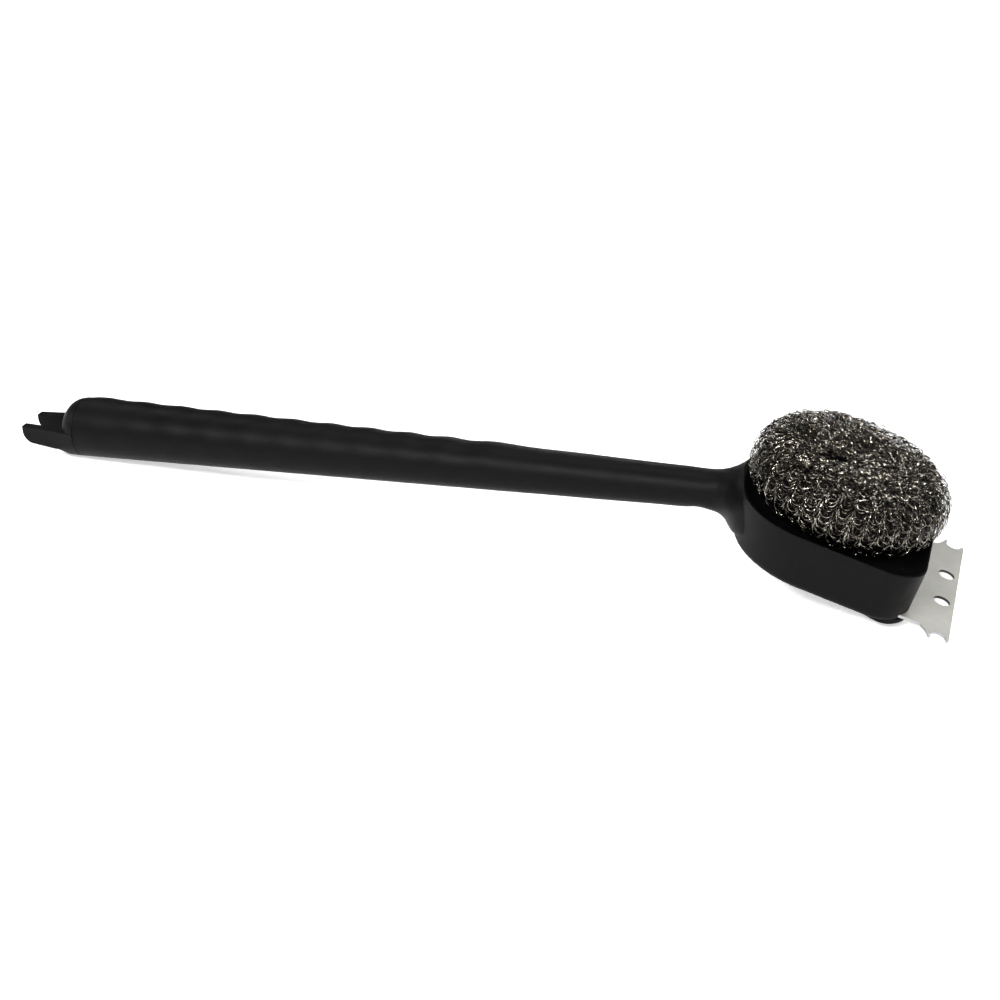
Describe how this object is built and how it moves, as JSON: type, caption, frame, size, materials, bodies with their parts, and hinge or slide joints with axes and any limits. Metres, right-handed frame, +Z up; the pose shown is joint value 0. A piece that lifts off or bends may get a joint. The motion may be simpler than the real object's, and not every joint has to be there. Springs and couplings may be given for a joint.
{
  "type": "grill cleaning brush",
  "caption": "Long-handled grill brush: moulded handle and head, forked end cap, steel scraper plate and a knitted steel scouring pad screwed to a boss.",
  "frame": {"origin": "centre of the brush's bounding box in plan, on the surface it rests on", "axes": "+X from the forked end cap towards the scraper, +Y to the left when looking along +X, +Z up on the pad's side; the brush rests on its back, on the underside of the handle's end and the scraper's edge"},
  "size_m": [0.4526, 0.091, 0.07],
  "materials": {
    "handle_plastic": "matte, lightly grained black polypropylene",
    "cap_plastic": "matte black polypropylene",
    "scraper_steel": "stamped stainless steel, satin",
    "pad_steel": "knitted stainless steel wire",
    "screw_steel": "zinc plated steel"
  },
  "bodies": {
    "root": {"handle_head": "handle_plastic", "end_cap": "cap_plastic", "scraper_plate": "scraper_steel", "scraper_screws": "screw_steel", "scouring_pad": "pad_steel", "pad_washer": "screw_steel", "pad_screw": "screw_steel"}
  },
  "joints": []
}
